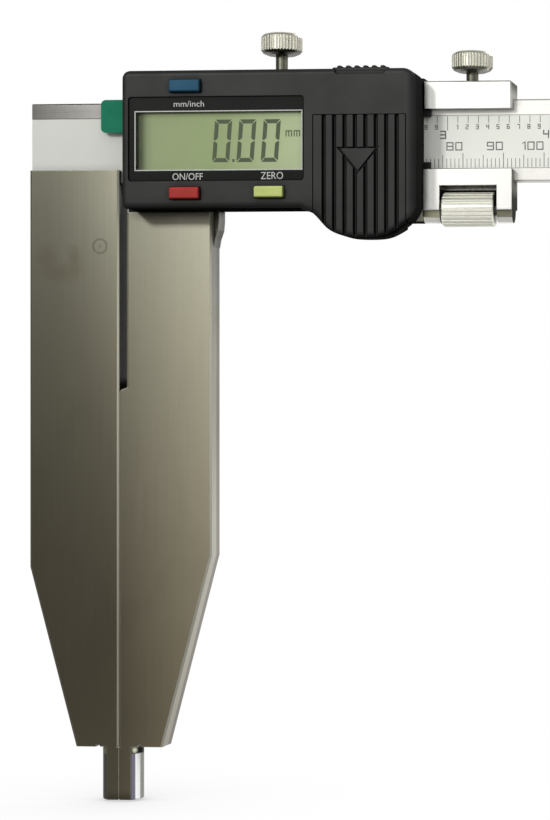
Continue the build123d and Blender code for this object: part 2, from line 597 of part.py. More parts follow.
os.makedirs("parts", exist_ok=True)
for name, shape in nodes.items():
    items = shape if isinstance(shape, list) else [shape]
    solids = [s for item in items for s in item.solids()]
    out = solids[0] if len(solids) == 1 else Compound(children=solids)
    out.label = name
    export_step(out, f"parts/{name}.step")
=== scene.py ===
import json
import math
import random

import bmesh
import bpy
from mathutils import Matrix, Vector

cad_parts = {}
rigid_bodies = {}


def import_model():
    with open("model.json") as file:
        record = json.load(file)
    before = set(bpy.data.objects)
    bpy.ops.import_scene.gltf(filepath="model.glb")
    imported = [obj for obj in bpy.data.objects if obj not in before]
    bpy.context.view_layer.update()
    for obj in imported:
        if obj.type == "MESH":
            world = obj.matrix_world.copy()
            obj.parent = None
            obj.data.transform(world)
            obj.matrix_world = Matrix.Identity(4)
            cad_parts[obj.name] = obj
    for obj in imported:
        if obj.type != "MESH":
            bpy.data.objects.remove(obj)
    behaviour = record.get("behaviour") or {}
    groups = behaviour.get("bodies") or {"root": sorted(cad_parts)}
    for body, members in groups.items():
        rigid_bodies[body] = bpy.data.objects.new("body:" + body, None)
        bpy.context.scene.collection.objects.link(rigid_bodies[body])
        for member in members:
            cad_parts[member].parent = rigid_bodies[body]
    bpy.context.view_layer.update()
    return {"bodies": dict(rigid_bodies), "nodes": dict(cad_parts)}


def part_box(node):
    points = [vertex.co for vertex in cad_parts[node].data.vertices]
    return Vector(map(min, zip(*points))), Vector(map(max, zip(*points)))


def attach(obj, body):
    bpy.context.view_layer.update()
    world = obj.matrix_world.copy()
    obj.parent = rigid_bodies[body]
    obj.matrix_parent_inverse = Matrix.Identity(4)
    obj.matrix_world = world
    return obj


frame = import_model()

MM = 0.001
scene = bpy.context.scene
nodes = frame["nodes"]
random.seed(7)


# ============================================================ small helpers
def srgb(r, g, b):
    def lin(c):
        c /= 255.0
        return c / 12.92 if c <= 0.04045 else ((c + 0.055) / 1.055) ** 2.4
    return (lin(r), lin(g), lin(b), 1.0)


class Net:
    """A short way to write a node material. Coordinates are object space in millimetres."""

    def __init__(self, name):
        self.mat = bpy.data.materials.new(name)
        self.mat.use_nodes = True
        self.t = self.mat.node_tree
        self.t.nodes.clear()
        self.out = self.t.nodes.new("ShaderNodeOutputMaterial")
        self.bsdf = self.t.nodes.new("ShaderNodeBsdfPrincipled")
        self.t.links.new(self.bsdf.outputs[0], self.out.inputs[0])
        tc = self.t.nodes.new("ShaderNodeTexCoord")
        self.mm = self.vec("MULTIPLY", tc.outputs["Object"], (1000, 1000, 1000))

    def link(self, a, b):
        self.t.links.new(a, b)

    def put(self, socket, v):
        if isinstance(v, bpy.types.NodeSocket):
            self.link(v, socket)
        else:
            socket.default_value = v

    def vec(self, op, a, b=(0, 0, 0)):
        n = self.t.nodes.new("ShaderNodeVectorMath")
        n.operation = op
        self.put(n.inputs[0], a)
        self.put(n.inputs[1], b)
        return n.outputs["Value"] if op in ("DOT_PRODUCT", "LENGTH", "DISTANCE") else n.outputs[0]

    def math(self, op, a, b=0.0, c=0.0, clamp=False):
        n = self.t.nodes.new("ShaderNodeMath")
        n.operation = op
        n.use_clamp = clamp
        self.put(n.inputs[0], a)
        self.put(n.inputs[1], b)
        self.put(n.inputs[2], c)
        return n.outputs[0]

    def sep(self, v):
        n = self.t.nodes.new("ShaderNodeSeparateXYZ")
        self.link(v, n.inputs[0])
        return n.outputs

    def noise(self, scale=1.0, detail=3.0, rough=0.5, stretch=(1, 1, 1), distortion=0.0, off=(0, 0, 0)):
        v = self.vec("MULTIPLY", self.mm, stretch)
        v = self.vec("ADD", v, off)
        n = self.t.nodes.new("ShaderNodeTexNoise")
        self.link(v, n.inputs["Vector"])
        n.inputs["Scale"].default_value = scale
        n.inputs["Detail"].default_value = detail
        n.inputs["Roughness"].default_value = rough
        n.inputs["Distortion"].default_value = distortion
        return n.outputs[0]

    def voronoi(self, scale=1.0, stretch=(1, 1, 1), feature="F1"):
        v = self.vec("MULTIPLY", self.mm, stretch)
        n = self.t.nodes.new("ShaderNodeTexVoronoi")
        n.feature = feature
        self.link(v, n.inputs["Vector"])
        n.inputs["Scale"].default_value = scale
        return n.outputs[0]

    def ramp(self, v, stops):
        n = self.t.nodes.new("ShaderNodeValToRGB")
        self.link(v, n.inputs[0])
        e = n.color_ramp.elements
        while len(e) < len(stops):
            e.new(0.5)
        for i, (p, c) in enumerate(stops):
            e[i].position = p
            e[i].color = c if isinstance(c, tuple) else (c, c, c, 1)
        return n.outputs[0]

    def remap(self, v, a, b, c=0.0, d=1.0):
        n = self.t.nodes.new("ShaderNodeMapRange")
        self.put(n.inputs[0], v)
        for i, x in enumerate((a, b, c, d)):
            n.inputs[i + 1].default_value = x
        return n.outputs[0]

    def mix(self, f, a, b, kind="MIX"):
        n = self.t.nodes.new("ShaderNodeMix")
        n.data_type = "RGBA"
        n.blend_type = kind
        self.put(n.inputs[0], f)
        self.put(n.inputs[6], a)
        self.put(n.inputs[7], b)
        return n.outputs[2]

    def edge(self, radius=0.25, lo=0.02, hi=0.35):
        """1 near a convex or concave edge, 0 on flats."""
        bev = self.t.nodes.new("ShaderNodeBevel")
        bev.samples = 4
        bev.inputs[0].default_value = radius * MM
        geo = self.t.nodes.new("ShaderNodeNewGeometry")
        d = self.vec("DOT_PRODUCT", bev.outputs[0], geo.outputs["Normal"])
        return self.remap(self.math("SUBTRACT", 1.0, d), lo, hi)

    def ao(self, dist=3.0, power=1.3, floor=0.1):
        """How open a point is: 1 on open faces, towards floor in narrow gaps and corners."""
        n = self.t.nodes.new("ShaderNodeAmbientOcclusion")
        n.samples = 4
        n.inputs["Distance"].default_value = dist * MM
        return self.remap(self.math("POWER", n.outputs["AO"], power), 0.0, 1.0, floor, 1.0)

    def scale(self, color, f):
        """Colour times a number."""
        n = self.t.nodes.new("ShaderNodeVectorMath")
        n.operation = "SCALE"
        self.put(n.inputs[0], color if isinstance(color, bpy.types.NodeSocket) else color[:3])
        self.put(n.inputs["Scale"], f)
        return n.outputs[0]

    def facing(self):
        """World-space direction of the surface, as x, y, z."""
        geo = self.t.nodes.new("ShaderNodeNewGeometry")
        return self.sep(geo.outputs["True Normal"])

    def both(self, *masks):
        out = masks[0]
        for m in masks[1:]:
            out = self.math("MULTIPLY", out, m)
        return out

    def bump(self, h, dist=0.02, strength=1.0, base=None, bevel=0.0):
        n = self.t.nodes.new("ShaderNodeBump")
        n.inputs["Strength"].default_value = strength
        n.inputs["Distance"].default_value = dist * MM
        self.link(h, n.inputs["Height"])
        if bevel:
            bev = self.t.nodes.new("ShaderNodeBevel")
            bev.samples = 4
            bev.inputs[0].default_value = bevel * MM
            base = bev.outputs[0]
        if base is not None:
            self.link(base, n.inputs["Normal"])
        return n.outputs[0]

    def set(self, **kw):
        names = {"color": "Base Color", "metal": "Metallic", "rough": "Roughness", "normal": "Normal",
                 "aniso": "Anisotropic", "rot": "Anisotropic Rotation", "coat": "Coat Weight",
                 "coat_rough": "Coat Roughness", "ior": "IOR", "trans": "Transmission Weight", "alpha": "Alpha",
                 "spec": "Specular IOR Level", "tangent": "Tangent", "sheen": "Sheen Weight", "emit": "Emission Color",
                 "emit_s": "Emission Strength", "sss": "Subsurface Weight"}
        for k, v in kw.items():
            self.put(self.bsdf.inputs[names[k]], v)
        return self.mat

    def tangent(self, axis):
        n = self.t.nodes.new("ShaderNodeTangent")
        n.direction_type = "RADIAL"
        n.axis = axis
        return n.outputs[0]


def steel(name, base, grain="Z", rough=0.34, grain_depth=0.006, stain=0.25, bevel=0.2, dark=0.5, shade=None,
          scale=9.0, gap=0.1, rim=(0.90, 0.89, 0.82, 1), rim_amount=0.6, extra=None, reach=3.0, faces=None, warm=False):
    """Ground steel: fine parallel grain, broad stains, small pits, brighter edges that are partly worn and partly a
    painted highlight, painted shade in the gaps.
    """
    n = Net(name)
    stretch = {"Z": (scale, scale, 0.05), "X": (0.05, scale, scale), "Y": (scale, 0.05, scale)}[grain]
    fine = n.noise(1.0, 4, 0.6, stretch)
    coarse = n.noise(0.35, 3, 0.6, stretch, off=(31, 7, 3))
    cloud = n.noise(0.06, 4, 0.6, (1, 1, 0.5), 0.6)
    speck = n.voronoi(1.1)
    speckle = n.remap(speck, 0.02, 0.11, 1.0, 0.0)
    h = n.math("ADD", fine, n.math("MULTIPLY", coarse, 0.8))
    edge = n.edge(0.3)
    tone = n.math("ADD", n.math("MULTIPLY", n.remap(cloud, 0.3, 0.7), stain),
                  n.math("MULTIPLY", n.remap(coarse, 0.3, 0.7), 0.12))
    darkc = tuple(c * dark for c in base[:3]) + (1,)
    col = n.mix(tone, base, darkc)
    col = n.mix(n.math("MULTIPLY", n.remap(fine, 0.35, 0.75), 0.16), col, darkc)
    col = n.mix(n.math("MULTIPLY", speckle, 0.25), col, tuple(c * 0.35 for c in base[:3]) + (1,))
    if extra:
        col = extra(n, col)
    if warm:
        t = n.remap(n.sep(n.mm)[2], 30.0, 140.0)
        col = n.mix(1.0, col, n.mix(t, (1.0, 0.90, 0.74, 1), (1.0, 1.0, 0.93, 1)), "MULTIPLY")
    # shade paints light and shade across the face
    if shade:
        col = n.scale(col, shade(n))
    open_face = col
    # brighter edges: partly worn, partly a painted highlight on the bevels
    col = n.mix(n.math("MULTIPLY", edge, rim_amount), col, rim)
    # painted shade: the colour darkens in narrow gaps and corners
    air = n.ao(reach, 1.0, 0.0)
    col = n.scale(col, n.remap(n.math("POWER", air, 1.5), 0.0, 1.0, gap, 1.0))
    polished, dull, lapped = 0.0, 0.0, None
    if faces:
        col, polished, dull, lapped = faces(n, col, open_face, air)
    r = n.math("ADD", rough, n.math("MULTIPLY", n.math("SUBTRACT", cloud, 0.5), 0.16))
    r = n.math("ADD", r, n.math("MULTIPLY", n.math("SUBTRACT", fine, 0.5), 0.16))
    r = n.math("SUBTRACT", r, n.math("MULTIPLY", edge, 0.08), clamp=True)
    r = n.math("SUBTRACT", r, n.math("MULTIPLY", polished, 0.22), clamp=True)
    nrm = n.bump(h, grain_depth, 1.0, bevel=bevel)
    if lapped is not None:
        around = n.vec("NORMALIZE", n.vec("MULTIPLY", n.mm, (1, 1, 0)))
        nrm = n.vec("NORMALIZE", n.vec("ADD", n.scale(nrm, n.math("SUBTRACT", 1.0, lapped)), n.scale(around, lapped)))
    bare = n.math("SUBTRACT", 1.0, dull, clamp=True)
    return n.set(color=col, metal=bare, spec=n.math("MULTIPLY", bare, 0.4), rough=r, normal=nrm)


def plated(name, base, rough=0.22, gap=0.15, reach=1.5, extra=None, under=1.0):
    """Satin nickel plating: tiny pits, tarnish patches, worn ridges, painted shade in the hollows and on faces that
    point down.
    """
    n = Net(name)
    tarn = n.noise(0.9, 4, 0.6)
    pits = n.noise(9.0, 3, 0.6)
    edge = n.edge(0.15)
    col = n.mix(n.math("MULTIPLY", n.remap(tarn, 0.35, 0.72), 0.35), base, tuple(c * 0.7 for c in base[:3]) + (1,))
    if extra:
        col = extra(n, col)
    col = n.mix(n.math("MULTIPLY", edge, 0.35), col, (0.93, 0.92, 0.86, 1))
    # painted shade in the hollows
    col = n.scale(col, n.ao(reach, 1.2, gap))
    # painted shade on faces that point down, set by under
    if under < 1.0:
        col = n.scale(col, n.remap(n.facing()[2], -0.1, -0.45, 1.0, under))
    r = n.math("ADD", rough, n.math("MULTIPLY", n.remap(tarn, 0.3, 0.7), 0.16))
    return n.set(color=col, metal=1.0, rough=r, normal=n.bump(pits, 0.006, 1.0, bevel=0.12))


def plastic(name, base, rough=0.42, grain=7.0, depth=0.012, edge_to=None, bevel=0.25, vary=0.25, spec=0.5, worn=0.5,
            gap=0.25, reach=2.0, extra=None, occlude=True, sides=1.0):
    """Moulded plastic: fine spark-eroded grain, slight mottling, worn edges, a few fine scratches, painted shade in
    gaps and corners and on faces away from front and back.
    """
    n = Net(name)
    tex = n.noise(grain, 3, 0.65)
    big = n.noise(0.12, 3, 0.55)
    scratch = n.noise(1.0, 2, 0.6, (6.0, 6.0, 0.16), off=(5, 1, 9))
    line = n.remap(scratch, 0.70, 0.76)
    edge = n.edge(0.35)
    lighter = edge_to or tuple(min(1, c * 1.9 + 0.004) for c in base[:3]) + (1,)
    darker = tuple(c * (1 - vary) for c in base[:3]) + (1,)
    col = n.mix(n.remap(big, 0.3, 0.7), base, darker)
    if extra:
        col = extra(n, col)
    rub = n.math("MULTIPLY", edge, n.remap(n.noise(0.8, 3, 0.6, off=(3, 3, 3)), 0.35, 0.65, 0.1, worn))
    col = n.mix(rub, col, lighter)
    col = n.mix(n.math("MULTIPLY", line, 0.14), col, lighter)
    # painted shade in gaps and corners
    open_ = n.ao(reach, 1.2, gap) if occlude else 1.0
    # painted shade on faces pointing away from front and back, with less sheen there
    if sides < 1.0:
        geo = n.t.nodes.new("ShaderNodeNewGeometry")
        front = n.math("ABSOLUTE", n.sep(geo.outputs["Normal"])[1])
        open_ = n.math("MULTIPLY", open_, n.remap(front, 0.72, 0.99, sides, 1.0))
        spec = n.remap(front, 0.30, 0.95, 0.0, spec)
    if occlude:
        col = n.scale(col, open_)
    r = n.math("ADD", rough, n.math("MULTIPLY", n.math("SUBTRACT", big, 0.5), 0.2))
    r = n.math("SUBTRACT", r, n.math("MULTIPLY", rub, 0.12), clamp=True)
    return n.set(color=col, rough=r, spec=n.math("MULTIPLY", spec, open_), normal=n.bump(tex, depth, 1.0, bevel=bevel))


def give(mat, *names):
    for nm in names:
        o = nodes[nm]
        o.data.materials.clear()
        o.data.materials.append(mat)


def mesh_piece(name, verts, faces, mat, body, smooth=False):
    me = bpy.data.meshes.new(name)
    me.from_pydata([Vector(v) * MM for v in verts], [], faces)
    me.update()
    o = bpy.data.objects.new(name, me)
    scene.collection.objects.link(o)
    if mat:
        me.materials.append(mat)
    if smooth:
        for p in me.polygons:
            p.use_smooth = True
    if body:
        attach(o, body)
    return o


# ================================================================ materials
STEEL = (0.30, 0.292, 0.245, 1)


def shade_fixed(n):
    """Painted light on the ground face of the fixed jaw: lighter towards its measuring edge and the beam."""
    p = n.sep(n.mm)
    x = n.remap(p[0], -22.5, 0.0)
    z = n.remap(p[2], 20.0, 150.0)
    reach = n.remap(n.math("POWER", z, 1.7), 0.0, 1.0, 0.10, 1.0)
    side = n.math("ADD", 0.70, n.math("MULTIPLY", n.math("POWER", x, 2.0), reach))
    return n.math("MULTIPLY", side, n.remap(z, 0.0, 1.0, 0.45, 0.54))


def shade_moving(n):
    # painted light and shade on the ground face of the moving jaw
    p = n.sep(n.mm)
    x = n.remap(p[0], 0.0, 23.4)
    z = n.remap(p[2], 20.0, 150.0)
    side = n.math("ADD", n.remap(z, 0.0, 1.0, 0.44, 0.63), n.math("MULTIPLY", n.math("POWER", x, 1.1), n.remap(z, 0.0, 1.0, 0.74, 0.58)))
    side = n.math("MULTIPLY", side, n.remap(z, 0.0, 1.0, 0.84, 1.08))
    middle = n.math("MULTIPLY", n.math("MULTIPLY", z, n.math("SUBTRACT", 1.0, n.math("POWER", z, 0.8))), 1.22)
    return n.math("MULTIPLY", side, n.math("ADD", 1.0, middle))


def jaw_faces(bright, wall, nib_tone):
    """Bevels along the jaws get painted highlights, the closed gap between them painted shade, and the round nibs a
    bent normal, less roughness and painted bands of reflection.
    """
    def faces(n, col, open_face, air):
        x, y, z = n.facing()
        p = n.sep(n.mm)
        front = n.remap(y, -0.40, -0.50)
        right = n.both(n.remap(x, 0.45, 0.55), n.remap(x, 0.90, 0.82), front)
        left = n.both(n.remap(x, -0.45, -0.55), n.remap(x, -0.90, -0.82), front)
        flank = n.remap(x, 0.90, 0.95)
        shut = n.math("MULTIPLY", flank, n.remap(air, 0.92, 0.60))
        nib = n.both(n.remap(p[2], 13.0, 12.8), n.remap(n.math("ABSOLUTE", x), 0.5, 0.6), n.remap(n.math("ABSOLUTE", p[0]), 2.7, 3.0))
        root = n.both(nib, n.remap(p[2], 11.2, 11.5))
        shine = n.both(nib, n.remap(p[0], 3.92, 4.0), n.remap(p[0], 4.74, 4.66), n.remap(p[2], 11.5, 11.2))
        # painted light and shade along the side walls, set by wall
        col = n.mix(flank, col, n.scale(col, wall(n, p)))
        low = n.both(flank, n.remap(p[0], 4.0, 6.0), n.remap(p[2], 110.0, 60.0))
        col = n.mix(low, col, n.mix(1.0, col, (1.02, 1.10, 1.34, 1), "MULTIPLY"))
        # painted shade in the closed gap
        col = n.mix(shut, col, n.scale(col, n.remap(p[2], 105.0, 140.0, 0.8, 0.22)))
        col = n.mix(left, col, n.scale(open_face, 1.05))
        # painted highlight on the right bevels, fading towards the bottom
        col = n.mix(right, col, n.scale(bright, n.remap(p[2], 40.0, 110.0, 0.55, 1.0)))
        # painted reflection on the round nibs
        col = n.mix(nib, col, nib_tone(n, p))
        # painted highlight on the nib
        col = n.mix(shine, col, n.scale(col, 1.75))
        # painted shade in the undercut at the nib root, with a painted highlight spot
        spot = n.vec("LENGTH", n.vec("MULTIPLY", n.vec("SUBTRACT", n.mm, (3.85, -3.4, 12.3)), (1 / 0.42, 0.0, 1 / 0.62)))
        deep = n.mix(n.remap(p[0], 4.1, 4.5), (0.13, 0.135, 0.085, 1), (0.02, 0.02, 0.015, 1))
        col = n.mix(root, col, n.mix(n.remap(spot, 1.45, 0.35), deep, (1.3, 1.4, 1.0, 1)))
        # where the moving jaw grows out of the frame: painted shade on the step, painted light on the web beside it
        step = n.both(n.remap(y, -0.8, -0.9), n.remap(p[1], -2.3, -2.1), n.remap(p[0], 22.8, 23.0), n.remap(p[2], 130.0, 136.0))
        col = n.mix(step, col, n.scale(col, 0.42))
        web = n.both(n.remap(x, 0.6, 0.7), n.remap(p[0], 22.8, 23.0), n.remap(p[1], -1.7, -1.9), n.remap(p[2], 134.0, 141.0))
        col = n.mix(web, col, n.scale(open_face, 0.75))
        # painted shade: the slide's cast frame inside and under the housing is coloured near black
        inside = n.both(n.remap(p[2], 144.9, 145.1), n.remap(p[1], 3.0, 2.6), n.remap(p[0], 1.5, 1.6))
        under = n.both(n.remap(z, -0.8, -0.9), n.remap(p[2], 140.0, 141.0), n.remap(p[0], 24.7, 24.8))
        hid = n.math("MAXIMUM", inside, under)
        col = n.mix(hid, col, (0.030, 0.030, 0.028, 1))
        dull = n.math("MAXIMUM", n.math("MAXIMUM", n.math("MULTIPLY", left, 0.9), n.math("MULTIPLY", right, 0.75)),
                      n.math("MAXIMUM", n.math("MAXIMUM", shut, hid), web))
        dull = n.math("MAXIMUM", dull, n.math("MAXIMUM", n.math("MULTIPLY", shine, 0.85), n.math("MULTIPLY", root, 0.8)))
        return col, nib, dull, nib
    return faces


def nib_fixed(n, p):
    return n.scale((0.17, 0.165, 0.14, 1), n.remap(p[0], -3.1, -2.8, 0.34, 1.0))


def nib_moving(n, p):
    """Painted reflection on the half round: a painted highlight band between greyer ones."""
    return n.ramp(n.remap(p[0], 3.0, 5.0), [(0.0, (0.15, 0.14, 0.16, 1)), (0.16, (0.26, 0.24, 0.32, 1)), (0.40, (0.27, 0.25, 0.36, 1)),
                                            (0.48, (0.97, 0.97, 0.99, 1)), (0.84, (0.97, 0.97, 0.97, 1)), (0.90, (0.50, 0.52, 0.47, 1)),
                                            (1.0, (0.44, 0.46, 0.41, 1))])


def wall_fixed(n, p):
    # painted shade: the side wall darkens towards the top
    return n.remap(p[2], 100.0, 150.0, 1.0, 0.8)


def wall_moving(n, p):
    """The outer wall is relieved along its rear half; the two bands there are painted light and shade, and the wall is
    painted lighter towards the bottom.
    """
    up = n.math("ADD", n.remap(p[2], 140.0, 20.0, 0.28, 1.75), n.math("MULTIPLY", n.remap(p[2], 100.0, 70.0), 0.42))
    return n.math("MULTIPLY", up, n.remap(p[1], 0.3, 0.9, 1.20, 0.70))


def shade_beam(n):
    """Painted shade: the beam darkens towards its jaw end."""
    x = n.remap(n.sep(n.mm)[0], -25.0, 105.0)
    return n.math("ADD", 0.06, n.math("MULTIPLY", n.math("POWER", x, 0.9), 0.94))


def beam_faces(n, col, open_face, air):
    return n.scale(col, shade_beam(n)), 0.0, 0.0, None


def label_tone(n, col):
    # painted shade: the label is darker towards the jaws and lighter towards the block
    x = n.remap(n.sep(n.mm)[0], -25.0, 80.0)
    return n.scale(col, n.math("ADD", 0.80, n.math("MULTIPLY", x, 0.32)))


def smudges(n, col):
    """Old finger marks on the upper face of the fixed jaw."""
    for x, z, rx, rz, f in ((-18.2, 134.0, 3.4, 3.6, 0.30), (-11.0, 133.4, 2.3, 4.4, 0.36), (-14.8, 130.0, 7.0, 2.6, 0.28)):
        d = n.vec("MULTIPLY", n.vec("SUBTRACT", n.mm, (x, -4.0, z)), (1 / rx, 0.3, 1 / rz))
        wob = n.math("MULTIPLY", n.math("SUBTRACT", n.noise(0.5, 3, 0.6, off=(x, z, 0)), 0.5), 1.3)
        m = n.remap(n.math("ADD", n.vec("LENGTH", d), wob), 1.1, 0.1)
        col = n.mix(n.math("MULTIPLY", m, f), col, (0.16, 0.125, 0.075, 1))
    return col


def etched_ring(n, col):
    """A plain round mark etched on the fixed jaw."""
    d = n.vec("LENGTH", n.vec("MULTIPLY", n.vec("SUBTRACT", n.mm, (-4.75, -4.0, 136.6)), (1, 0, 1)))
    ring = n.math("MULTIPLY", n.remap(d, 1.35, 1.62), n.remap(d, 2.05, 1.78))
    dot = n.remap(d, 0.55, 0.25)
    y = n.facing()[1]
    m = n.both(n.math("MAXIMUM", ring, n.math("MULTIPLY", dot, 0.7)), n.remap(y, -0.9, -0.95), n.remap(n.sep(n.mm)[1], -3.0, -3.5),
               n.remap(n.noise(1.4, 2), 0.25, 0.5, 0.5, 1.0))
    return n.mix(n.math("MULTIPLY", m, 0.42), smudges(n, col), (0.03, 0.03, 0.025, 1))


def bare_lug(n, col):
    """Painted shade on the front of the lugs below the block's plate, in a dark olive with fine rings, darker towards
    their right end.
    """
    p = n.sep(n.mm)
    low = n.remap(p[2], 144.92, 144.86)
    front = n.remap(p[1], -4.2, -4.35)
    lug_dark = n.mix(n.remap(n.noise(1.0, 3, 0.6, (0.1, 6, 6)), 0.35, 0.65), (0.52, 0.51, 0.36, 1), (0.36, 0.35, 0.24, 1))
    lug_dark = n.scale(lug_dark, n.remap(p[0], 92.0, 94.0, 1.0, 0.42))
    return n.mix(n.math("MULTIPLY", low, front), col, lug_dark)


def stem(n, col):
    """Painted shade: below the head the thumbscrews are darker."""
    p = n.sep(n.mm)
    r = n.math("SQRT", n.math("ADD", n.math("POWER", n.math("SUBTRACT", p[0], 39.95), 2.0), n.math("POWER", p[1], 2.0)))
    r2 = n.math("SQRT", n.math("ADD", n.math("POWER", n.math("SUBTRACT", p[0], 87.5), 2.0), n.math("POWER", p[1], 2.0)))
    thin = n.remap(n.math("MINIMUM", r, r2), 1.75, 1.6)
    return n.mix(thin, col, (0.18, 0.18, 0.14, 1))


def lcd_tone(n, col):
    p = n.sep(n.mm)
    t = n.remap(p[0], 7.0, 48.5)
    # painted shade at the left edge, then a painted reflection growing brighter to the right
    base = n.ramp(t, [(0.0, srgb(66, 68, 55)), (0.032, srgb(92, 98, 80)), (0.062, srgb(150, 161, 130)), (0.1, srgb(166, 177, 140)), (0.5, srgb(170, 183, 140)), (1.0, srgb(204, 214, 178))])
    # painted shade along the top edge
    base = n.scale(base, n.remap(p[2], 168.3, 166.9, 0.72, 1.0))
    return n.mix(n.remap(n.noise(0.25, 2), 0.3, 0.7, 0.0, 0.1), base, srgb(150, 162, 118))


def block_faces(n, col, open_face, air):
    """Dull end face with painted bands of light and shade, and painted shade in the pocket behind the fine-feed nut."""
    x, y, z = n.facing()
    p = n.sep(n.mm)
    end = n.both(n.remap(x, 0.55, 0.75), n.remap(p[0], 110.0, 105.0), n.remap(p[0], 96.5, 96.8))
    col = n.mix(end, col, n.scale((0.62, 0.62, 0.58, 1), n.ramp(n.remap(p[2], 142.0, 178.0), [
        (0.0, (0.10, 0.10, 0.09, 1)), (0.16, (0.14, 0.14, 0.13, 1)), (0.24, (0.62, 0.62, 0.60, 1)), (0.40, (0.42, 0.42, 0.41, 1)),
        (0.62, (0.9, 0.9, 0.88, 1)), (0.86, (1.0, 1.0, 0.98, 1)), (0.93, (0.34, 0.34, 0.33, 1)), (1.0, (0.26, 0.26, 0.25, 1))])))
    pocket = n.both(n.remap(p[0], 79.4, 79.6), n.remap(p[0], 94.8, 94.6), n.remap(p[2], 150.4, 150.2), n.remap(p[1], -4.9, -4.7))
    lug = n.both(pocket, n.remap(n.math("ABSOLUTE", x), 0.5, 0.4), n.remap(p[2], 144.95, 144.85))
    pocket = n.math("SUBTRACT", pocket, lug, clamp=True)
    return n.mix(pocket, col, n.scale(col, 0.05)), 0.0, n.math("MAXIMUM", end, n.math("MULTIPLY", pocket, 0.95)), None


def house_tone(n, col):
    """Painted light: the moulding grows lighter towards the door, with painted shade along its lower edge left of the
    door.
    """
    p = n.sep(n.mm)
    col = n.scale(col, n.remap(p[0], 4.0, 72.0, 0.92, 1.30))
    col = n.mix(n.remap(p[0], 57.0, 52.0), col, n.scale(col, n.remap(p[2], 145.2, 148.2, 0.45, 1.0)))
    hole = n.both(n.remap(p[0], 6.9, 7.0), n.remap(p[0], 48.5, 48.4), n.remap(p[2], 154.1, 154.2), n.remap(p[2], 168.7, 168.6),
                  n.remap(p[1], -13.4, -13.2))
    return n.mix(hole, col, (0.42, 0.44, 0.34, 1))


def door_tone(n, col):
    """The rounding under the door is lighter in patches, behind its front edge."""
    col = house_tone(n, col)
    x, y, z = n.facing()
    p = n.sep(n.mm)
    pale_patch = n.both(n.remap(z, -0.35, -0.6), n.remap(p[1], -10.5, -8.5), n.remap(p[0], 56.0, 62.0), n.remap(n.noise(0.25, 3, 0.6), 0.38, 0.60, 0.25, 1.0))
    return n.mix(pale_patch, col, n.scale(col, 5.0))


def key_flanks(n, col):
    x, y, z = n.facing()
    # painted shade on the keys' right and lower sides
    low = n.math("MAXIMUM", n.remap(x, 0.3, 0.7), n.remap(z, -0.3, -0.7))
    return n.mix(low, col, n.scale(col, 0.30))


def bezel_tone(n, col):
    """Inside edge of the window opening."""
    x, y, z = n.facing()
    return n.mix(n.remap(n.math("ABSOLUTE", y), 0.6, 0.3), col, (0.075, 0.080, 0.062, 1))


m_jaw_fixed = steel("jaw_steel_fixed", STEEL, "Z", 0.36, shade=shade_fixed, extra=etched_ring, gap=0.03, warm=True,
                    faces=jaw_faces((0.72, 0.71, 0.58, 1), wall_fixed, nib_fixed))
m_jaw = steel("jaw_steel", STEEL, "Z", 0.36, shade=shade_moving, gap=0.03, warm=True, faces=jaw_faces((0.66, 0.65, 0.55, 1), wall_moving, nib_moving))
m_beam = steel("beam_steel", (0.92, 0.91, 0.86, 1), "X", 0.30, stain=0.10, dark=0.75, gap=0.3, faces=beam_faces)
m_block = steel("block_steel", (0.95, 0.95, 0.91, 1), "Z", 0.30, stain=0.06, dark=0.85, gap=0.08, reach=1.6, extra=bare_lug,
                faces=block_faces)
m_pin = steel("pin_steel", (0.55, 0.54, 0.5, 1), "Y", 0.3, gap=0.3)
m_screw = plated("screw_steel", (0.35, 0.35, 0.34, 1), 0.3)
m_nickel = plated("nickel", (0.72, 0.71, 0.60, 1), 0.27, extra=stem, under=0.25)
m_nut = plated("nut_nickel", (1.0, 0.995, 0.885, 1), 0.34, gap=0.25, reach=1.2)
m_brass = plated("brass", (0.72, 0.55, 0.24, 1), 0.3)
m_house = plastic("housing_plastic", (0.026, 0.0275, 0.026, 1), 0.42, spec=0.20, sides=0.75, extra=house_tone, worn=0.25)
m_bezel = plastic("bezel_plastic", (0.009, 0.0095, 0.009, 1), 0.30, grain=3.0, depth=0.004, spec=0.10, extra=bezel_tone,
                  gap=0.6)
m_door = plastic("door_plastic", (0.026, 0.0275, 0.026, 1), 0.42, spec=0.20, gap=0.12, reach=1.2, edge_to=(0.05, 0.052, 0.05, 1),
                 sides=0.4, extra=door_tone)
m_blue = plastic("key_blue", srgb(41, 90, 118), 0.45, spec=0.12, extra=key_flanks, edge_to=srgb(30, 70, 95))
m_red = plastic("key_red", srgb(178, 56, 52), 0.45, spec=0.12, extra=key_flanks, edge_to=srgb(130, 42, 40))
m_yellow = plastic("key_yellow", srgb(204, 216, 130), 0.45, spec=0.12, extra=key_flanks, edge_to=srgb(205, 215, 140))
m_green = plastic("tab_green", srgb(25, 132, 100), 0.45, spec=0.08, gap=0.7)
m_label = plastic("label_film", srgb(238, 240, 233), 0.40, grain=4.0, depth=0.003, vary=0.03, spec=0.1, gap=0.7, extra=label_tone)
m_rear = plastic("rear_film", srgb(160, 162, 160), 0.3, grain=4.0, depth=0.003)
m_rubber = plastic("wiper_rubber", srgb(24, 24, 23), 0.6)
m_board = plastic("board", srgb(30, 74, 44), 0.35)
m_strip = plastic("strip", srgb(150, 140, 100), 0.5)
m_chip = plastic("chip", srgb(20, 20, 20), 0.2)
m_lcd = plastic("lcd", srgb(152, 164, 126), 0.5, grain=2.0, depth=0.001, vary=0.05, extra=lcd_tone, occlude=False, spec=0.1)

